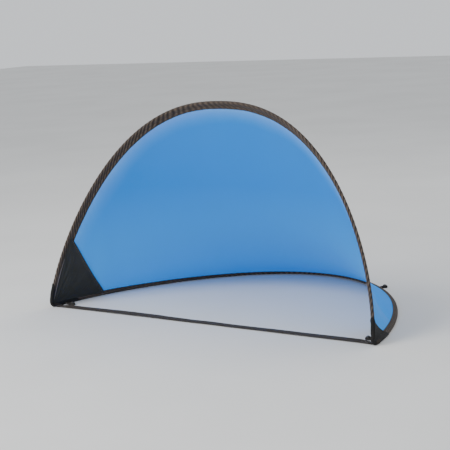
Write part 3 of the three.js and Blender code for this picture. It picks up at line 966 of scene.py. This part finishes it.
def corner_patch(side):
    margin = 0.0080
    out, down, angle, along, to_seam = corner_grid(side, patch_seam, 70, 80)
    length, arch_rate, hoop_rate, low, high = inset(angle, margin)
    distance = low + (high - low) * down
    bead = bell(to_seam - 0.0022, 0.0020)
    # the two rims fall off as a bell here
    rim = np.maximum(np.exp(-(distance * arch_rate - margin) / 0.003),
                     np.exp(-((length - distance) * hoop_rate - margin) / 0.003))
    outward = (0.00155 + 0.0006 * rim + 0.0008 * bead
               + 0.00035 * (1 + noise2(along / 0.02, down * 5, 61, 2)))
    outward = np.where(out > 0.999, 0.0008, outward)
    points = fabric(angle, distance, -outward)
    obj = cloth(f"corner_patch_cloth_{SIDES[side]}", points, (along, distance),
                {"edge": bead}, PATCH_BLACK, fold_share(points), flip=side > 0)
    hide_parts(f"corner_patch_{SIDES[side]}")

    # stitching beside the slanted seam
    down = np.linspace(0.06, 0.94, 30)
    angle = seam_angles(side, patch_seam, down, back=0.0058)
    length, _, _, low, high = inset(angle, margin)
    share = (low + (high - low) * down) / length
    normals = normal_in(angle, share)
    points = surface(angle, share) - normals * 0.0028
    stitch_row(f"corner_patch_stitch_{SIDES[side]}", points, -normals,
               np.gradient(points, axis=0), DARK_THREAD, fold_share(points))


corner_patch(1)
corner_patch(-1)


# ---------------------------------------------------------------- bindings by each corner
# Section from the inside, round the wire, to the outside: distance from the wire, height.
BINDING_PROFILE = np.array(
    [(0.0097, 0.0022), (0.0085, 0.0030), (0.0070, 0.0041), (0.0052, 0.0050)]
    + ring_points(0.0063, 60, 300, 25)
    + [(0.0052, -0.0050), (0.0072, -0.0041), (0.0092, -0.0033), (0.0125, -0.0027)])


def corner_binding(side, wire):
    """Black binding over a pocket beside the corner."""
    hoop = wire is HOOP
    end = math.radians(15.5 if hoop else 8.2)
    angle = wire.spread(CLOTH_START, end, 110)[:, None]
    along = wire.length_at(angle)
    place = mirrored(angle, side)
    to_end = along[-1] - along
    lip = bell(to_end - 0.0028, 0.0022)
    crumple = noise2(along / 0.014, np.arange(len(BINDING_PROFILE)) * 0.35,
                     65 + hoop + (side > 0) * 2, 3)
    grow = 1 + (0.0006 * lip + 0.00035 * crumple) / 0.0063
    square, height = BINDING_PROFILE[:, 0] * grow, BINDING_PROFILE[:, 1] * grow
    points, _ = beside_wire(wire, place, square, height)
    points[..., 2] = np.maximum(points[..., 2], 0.0003)
    name = f"{wire.name}_{SIDES[side]}"
    obj = cloth(f"corner_binding_{name}", points, (along, path_length(BINDING_PROFILE)),
                {"edge": lip}, PATCH_BLACK, wire_fold_share(wire, points, square),
                flip=(not hoop) == (side > 0))

    # thread along the turned end
    row = int(np.argmin(abs(to_end[:, 0] - 0.0058)))
    ring = points[row]
    keep = ring[:, 2] > 0.0012
    outward = unit(ring - wire.line(place[row, 0]))[keep]
    spots = ring[keep] + outward * 0.00035
    stitch_row(f"corner_binding_stitch_{name}", spots[::2], outward[::2],
               np.gradient(spots, axis=0)[::2], DARK_THREAD,
               np.full(len(spots[::2]), 0.0 if hoop else 1.0), length=0.0016)


for side in SIDES:
    corner_binding(side, ARCH)
    corner_binding(side, HOOP)


# ---------------------------------------------------------------- corner sleeves
BEND_ANGLE = math.pi / 2 - LEAN
BEND_TANGENT = BEND_RADIUS / math.tan(BEND_ANGLE / 2)
CORNER_BACK = (HINGE_Z - HOOP_Z) * math.tan(LEAN)   # wires meet this far before the hinge
BEND_TO_CENTRE = BEND_RADIUS / math.sin(BEND_ANGLE / 2)
BEND_CENTRE = np.array([across_at(angle_at_depth(BEND_TANGENT - CORNER_BACK)),
                        HINGE_Y - CORNER_BACK + math.cos(BEND_ANGLE / 2) * BEND_TO_CENTRE,
                        HOOP_Z + math.sin(BEND_ANGLE / 2) * BEND_TO_CENTRE])


def corner_path():
    """Middle line of the wire, down the arch, round the bend and out along the hoop, with
    the length at each point and at the start and end of the bend."""
    reach, count = 0.050, 40
    turn = np.linspace(math.pi - LEAN, 1.5 * math.pi, count)
    bend = BEND_CENTRE + BEND_RADIUS * coords(0, np.cos(turn), np.sin(turn))
    arch = arch_line(angle_at_rise(np.linspace(reach, 0.0085, count)))
    hoop = hoop_line(angle_at_depth(np.linspace(BEND_TANGENT - 0.001, reach + 0.004, count)))
    path = np.concatenate([arch, bend, hoop])
    points, along = resample(path, 170)
    for _ in range(3):                   # rounds off the joins
        points[1:-1] = (points[:-2] + 2 * points[1:-1] + points[2:]) / 4
    lengths = path_length(path)
    return points, along, lengths[count - 1], lengths[2 * count]


def corner_sleeve(side):
    centres, stations, bend_start, bend_end = corner_path()
    middle = len(centres) // 2
    tangents = unit(np.gradient(centres, axis=0))
    first = np.array([1.0, 0, 0]) - tangents * tangents[:, :1]
    first = unit(first)
    second = np.cross(tangents, first)
    around = np.linspace(0, TURN, 36, endpoint=False)
    along = stations[:, None]
    bend = bell(along - (bend_start + bend_end) / 2, 0.013)
    # `second` points to one side of the bend; find which is the inside
    inner = np.array([0, *BEND_CENTRE[1:]]) - centres[middle]
    sign = 1.0 if np.dot(second[middle], inner) > 0 else -1.0
    inside = 0.5 + 0.5 * np.sin(around) * sign
    radius = 0.0056 + 0.0002 * noise2(along / 0.008, around * 0.8, 71, 3)
    # bunched folds across the inside of the bend, stretched outside
    bunch = np.sin(along * TURN / 0.0052 + 0.8 * np.sin(around))
    radius = radius + bend * (0.00085 * inside * bunch - 0.00025 * (1 - inside))
    # long soft twists elsewhere
    radius = radius + 0.00028 * (1 - bend) * np.sin(2 * around + along * TURN / 0.030)
    # turned hem at both ends
    for end in (stations[0], stations[-1]):
        radius = radius + 0.0005 * bell(along - end, 0.0035)
    points = tube(centres, radius, around, first, second)
    points[..., 2] = np.maximum(points[..., 2], 0.0003)
    points[..., 0] *= side
    ridge = np.clip(0.5 + (radius - radius.mean()) / 0.0012, 0, 1)
    shares = 1 - smooth((along - bend_start + 0.001) / (bend_end - bend_start + 0.002))
    obj = cloth(f"corner_wrap_{SIDES[side]}", points, (along, around * 0.0056),
                {"edge": ridge}, SLEEVE_BLACK, shares, offset=-1, wrap=True, flip=side > 0)
    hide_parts(f"corner_sleeve_{SIDES[side]}")

    # a ring of stitches near each end
    mirror = np.array([side, 1, 1])
    around = np.linspace(0, TURN, 12, endpoint=False)[:, None]
    for ring, (place, share) in enumerate(((stations[0] + 0.004, 1.0),
                                           (stations[-1] - 0.004, 0.0))):
        i = int(np.argmin(abs(stations - place)))
        outward = np.cos(around) * first[i] + np.sin(around) * second[i]
        spots = centres[i] + outward * 0.00625
        keep = spots[:, 2] > 0.001
        spots, outward = spots[keep], outward[keep]
        stitch_row(f"corner_wrap_stitch_{SIDES[side]}_{ring}", spots * mirror,
                   outward * mirror, np.cross(tangents[i], outward) * mirror,
                   DARK_THREAD, np.full(len(spots), share))


corner_sleeve(1)
corner_sleeve(-1)


# ---------------------------------------------------------------- webbing
def band(name, centres, across, normals, width, thick, material, columns):
    """Flat strap on the hoop: middle line, direction across it and face normal."""
    x = np.linspace(-1, 1, columns)
    edge = width / 2 + thick * 0.18
    top = np.stack([x * width / 2, thick / 2 * (1 - 0.55 * np.abs(x) ** 8)], -1)
    ring = np.concatenate([top, [[edge, 0.0]], top[::-1] * [1, -1], [[-edge, 0.0]]])
    points = (centres[:, None, :] + ring[:, :1] * across[:, None, :]
              + ring[:, 1:] * normals[:, None, :])
    uv = (path_length(centres)[:, None], ring[:, 0] + 0.0002)
    obj = grid_mesh(name, points, uv, {"edge": np.zeros(1)}, material, wrap=True, caps=True)
    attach(obj, "ground_hoop")
    return obj


def strap():
    """Webbing along the goal line, with its ends taken round the hoop's pocket."""
    width = 0.0236
    low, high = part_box("goal_line_strap")
    middle_y = (low.y + high.y) / 2
    half = (high.x - low.x) / 2
    x = np.linspace(-half, half, 420)
    # lies on the ground, with a little lift and twist between the corners
    free = smooth((half - np.abs(x)) / 0.05)
    tilt = np.radians(7.0) * free * (0.6 + 0.5 * noise1(x / 0.24, 83, 2))
    y = middle_y + 0.0010 * free * noise1(x / 0.2, 82, 2)
    z = 0.0011 + 0.0012 * free * (1 + noise1(x / 0.13, 81, 3)) + 0.0012 * free
    z = z + 0.012 * np.abs(np.sin(tilt))
    obj = band("goal_line_webbing", coords(x, y, z), coords(0, np.cos(tilt), np.sin(tilt)),
               coords(0, -np.sin(tilt), np.cos(tilt)), width, 0.0016, STRAP_WEB, 13)
    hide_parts("goal_line_strap")

    # each end goes up round the pocket and down outside it
    hoop = hoop_line(angle_at_depth(middle_y - HINGE_Y))
    around = np.radians(np.linspace(200, -58, 60))
    radius = 0.0069
    ring_x = hoop[0] + radius * np.cos(around)
    ring_z = hoop[2] + 0.0002 + radius * 0.97 * np.sin(around)
    lead = np.linspace(0, 1, 12)[:-1]
    lead_x, lead_z = half - 0.012, 0.0027
    wrap_x = np.concatenate([lead_x + (ring_x[0] - lead_x) * lead, ring_x])
    wrap_z = np.concatenate([lead_z + (ring_z[0] - lead_z) * smooth(lead), ring_z])
    centres = coords(wrap_x, middle_y, np.maximum(wrap_z, 0.0008))
    across = np.tile([0.0, 1.0, 0.0], (len(centres), 1))
    normals = np.cross(unit(np.gradient(centres, axis=0)), across)

    # sewn box with a cross on each end: the two ends of every line
    x0, x1, y1 = half - 0.036, half - 0.010, 0.0090
    lines = (((x0, -y1), (x1, -y1)), ((x1, -y1), (x1, y1)), ((x1, y1), (x0, y1)),
             ((x0, y1), (x0, -y1)), ((x0, -y1), (x1, y1)), ((x0, y1), (x1, -y1)))
    spots, directions = [], []
    for (xa, ya), (xb, yb) in lines:
        count = max(3, int(math.hypot(xb - xa, yb - ya) / 0.0026))
        for part in (np.arange(count) + 0.5) / count:
            spots.append((xa + (xb - xa) * part, ya + (yb - ya) * part))
            directions.append((xb - xa, yb - ya, 0))
    spots = np.array(spots)
    for side, side_name in SIDES.items():
        mirror = np.array([side, 1, 1])
        wrap = band(f"strap_wrap_{side_name}", centres * mirror, across, normals * mirror,
                    width, 0.0014, STRAP_WEB, 13)
        spot_x = spots[:, 0] * side
        spot_tilt = np.interp(spot_x, x, tilt)
        points = coords(spot_x, middle_y + spots[:, 1] * np.cos(spot_tilt),
                        np.interp(spot_x, x, z) + spots[:, 1] * np.sin(spot_tilt) + 0.00085)
        stitch_row(f"strap_stitch_{side_name}", points, UP, np.array(directions) * mirror,
                   GREY_THREAD, length=0.0020)


strap()


# ---------------------------------------------------------------- peg loops and pegs
def box_middle(low, high):
    return np.array([(low.x + high.x) / 2, (low.y + high.y) / 2, 0.0])


def peg_loop(name, low, high, peg):
    """Strip doubled over: both ends together at the pocket, round nose past the peg."""
    centre = box_middle(low, high)
    out = unit(peg - centre)
    side = np.array([-out[1], out[0], 0.0])
    length = 0.042 if name.startswith("front") else 0.030
    root = centre - out * length / 2
    half_gap, root_gap = 0.0061, 0.0012
    part = np.linspace(0, 1, 26)
    leg = coords(0.0006 + part * (length - half_gap - 0.002),
                 root_gap + (half_gap - root_gap) * smooth(part / 0.55))
    turn = np.radians(np.linspace(90, -90, 20)[1:-1])
    nose = coords(length - half_gap - 0.0014 + (half_gap - 0.0002) * np.cos(turn),
                  half_gap * np.sin(turn))
    path, along = resample(np.concatenate([leg, nose, leg[::-1] * [1, -1]]), 110)
    seed = 90 + sum(map(ord, name)) % 17
    z = (low.z + high.z) / 2 + 0.0006 * noise1(along / 0.02, seed, 2)
    centres = root + path[:, :1] * out + path[:, 1:] * side + z[:, None] * UP
    tangents = unit(np.gradient(centres, axis=0))
    lean = (np.radians(6) * noise1(along / 0.03, seed + 1, 2))[:, None]
    across = unit(UP * np.cos(lean) + unit(np.cross(tangents, UP)) * np.sin(lean))
    obj = band(f"peg_webbing_{name}", centres, across, unit(np.cross(tangents, across)),
               0.0055, 0.0013, LOOP_WEB, 9)
    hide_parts(f"peg_loop_{name}")

    # bar tack near the pocket, on both faces
    tack = 0.0060
    nearest = int(np.argmin(abs(path[:55, 0] - tack)))
    height = np.linspace(low.z + 0.0012, high.z - 0.0012, 6)[:, None]
    for face, sign in (("a", 1), ("b", -1)):
        points = root + out * tack + side * (path[nearest, 1] + 0.0009) * sign + height * UP
        stitch_row(f"peg_tack_{name}_{face}", points, side * sign, out, GREY_THREAD,
                   length=0.0030, width=0.0007)


# Domed head with a rolled rim and a raised pad: radius, height before flattening.
HEAD_PROFILE = np.array([
    (0.0030, 0.0), (0.0055, 0.0), (0.0063, 0.0005), (0.0066, 0.0014), (0.0065, 0.0024),
    (0.0059, 0.0032), (0.0051, 0.0036), (0.0043, 0.0041), (0.0038, 0.0049),
    (0.0033, 0.0056), (0.0024, 0.0059), (0.0011, 0.00595), (0.0002, 0.0058),
])
HEAD_FLATTEN = 0.755


def peg_body(name, peg, head_z):
    """Ribbed shank that tapers to a point, under the head."""
    around = np.linspace(0, TURN, 48, endpoint=False)
    # shank: plus-shaped section with shallow notches
    z = np.concatenate([np.linspace(-0.150, -0.128, 12), np.linspace(-0.124, -0.002, 40)])
    z = z[:, None]
    ribs = 0.56 + 0.44 * np.clip(np.abs(np.cos(2 * around)) * 2.4 - 1.2, 0, 1)
    notch = 1 - 0.10 * (np.cos(z * 2 * np.pi / 0.012) > 0.75) * (z < -0.03) * (z > -0.125)
    radius = (0.0004 + 0.0029 * smooth((z + 0.150) / 0.024)) * ribs * notch
    shank = coords(radius * np.cos(around), radius * np.sin(around), z)
    shank_edge = np.clip((ribs - 0.9) * 6, 0, 1) + 0 * z

    radius, z = HEAD_PROFILE[:, :1], HEAD_PROFILE[:, 1:] * HEAD_FLATTEN
    facets = 1 - 0.02 * np.abs(np.cos(4 * around)) * (radius > 0.0054)
    head = coords(radius * facets * np.cos(around), radius * facets * np.sin(around), z)
    pad = (radius > 0.0034) & (radius < 0.0044) & (z > 0.003)
    head_edge = ((radius > 0.0062) | pad) + 0 * around

    points = np.concatenate([shank, head]) + peg + head_z * UP
    u = 0.003 * np.arange(1, len(points) + 1)[:, None]
    obj = grid_mesh(f"peg_body_{name}", points, (u, around * 0.004),
                    {"edge": np.concatenate([shank_edge, head_edge])}, PEG_PLASTIC,
                    wrap=True, caps=True, flip=True)
    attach(obj, f"ground_peg_{name}")
    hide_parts(f"ground_peg_{name}")


for name in ("front_right", "front_left", "rear_right", "rear_left"):
    loop_low, loop_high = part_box(f"peg_loop_{name}")
    peg_low, peg_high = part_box(f"ground_peg_{name}")
    peg_middle = box_middle(peg_low, peg_high)
    peg_loop(name, loop_low, loop_high, peg_middle)
    peg_body(name, peg_middle, head_z=peg_high.z - 0.0045)


# ---------------------------------------------------------------- floor, light and camera
def floor():
    half = 14.0
    mesh = bpy.data.meshes.new("floor")
    corners = [(-half, -half, 0), (half, -half, 0), (half, half, 0), (-half, half, 0)]
    mesh.from_pydata(corners, [], [(0, 1, 2, 3)])
    obj = make_object("floor", mesh)
    m = Shader("pale_floor")
    place = m.coord("Object")
    color = m.mix(m.remap(m.noise(place, scale=1.4, detail=3), span=(0.35, 0.65)),
                  (0.66, 0.66, 0.65), (0.70, 0.70, 0.69))
    grain = m.noise(place, scale=220.0, detail=3)
    mesh.materials.append(m.finish(color=color, rough=0.9, spec=0.1,
                                   normal=m.bump(grain, strength=0.05, distance=0.001)))


def studio_world():
    world = bpy.data.worlds.new("studio")
    bpy.context.scene.world = world
    world.use_nodes = True
    background = world.node_tree.nodes["Background"]
    background.inputs["Color"].default_value = (0.93, 0.96, 1.0, 1)
    background.inputs["Strength"].default_value = 0.90


def area_light(name, place, target, size, power, color):
    light = bpy.data.lights.new(name, "AREA")
    light.shape = "DISK"
    light.size = size
    light.energy = power
    light.color = color
    obj = make_object(name, light)
    obj.location = place
    obj.rotation_mode = "QUATERNION"
    aim = Vector(target) - Vector(place)
    obj.rotation_quaternion = aim.to_track_quat("-Z", "Y")


def camera():
    azimuth, elevation, roll = math.radians(35.28), math.radians(9.96), math.radians(-3.30)
    distance = 4.000
    sideways, target_z = -0.046, 0.2661      # aim, from a point 0.25 behind the goal line
    back = np.array([math.sin(azimuth) * math.cos(elevation),
                     -math.cos(azimuth) * math.cos(elevation), math.sin(elevation)])
    target = np.array([sideways * math.cos(azimuth),
                       0.25 + HINGE_Y + sideways * math.sin(azimuth), target_z])
    level_right = unit(np.cross(-back, UP))
    level_up = np.cross(level_right, -back)
    right = level_right * math.cos(roll) + level_up * math.sin(roll)
    up = -level_right * math.sin(roll) + level_up * math.cos(roll)
    data = bpy.data.cameras.new("camera")
    obj = make_object("camera", data)
    data.sensor_width = 36
    data.lens = 101.944
    data.clip_start, data.clip_end = 0.05, 100
    place = target + back * distance
    rows = [[right[i], up[i], back[i], place[i]] for i in range(3)]
    obj.matrix_world = Matrix(rows + [[0, 0, 0, 1]])
    bpy.context.scene.camera = obj


floor()
studio_world()
area_light("key", (-1.6, -2.6, 3.4), target=(0, 0.2, 0.2), size=2.2, power=110,
           color=(1.0, 0.985, 0.96))
area_light("low", (-0.5, -3.4, 1.0), target=(0, 0.4, 0.15), size=2.4, power=66,
           color=(1.0, 0.99, 0.97))
area_light("fill", (3.0, -1.6, 2.0), target=(0, 0.2, 0.3), size=2.6, power=5,
           color=(0.95, 0.98, 1.0))
area_light("top_back", (0.4, 3.0, 3.2), target=(0, 0.3, 0.3), size=2.4, power=26,
           color=(1.0, 1.0, 1.0))
camera()
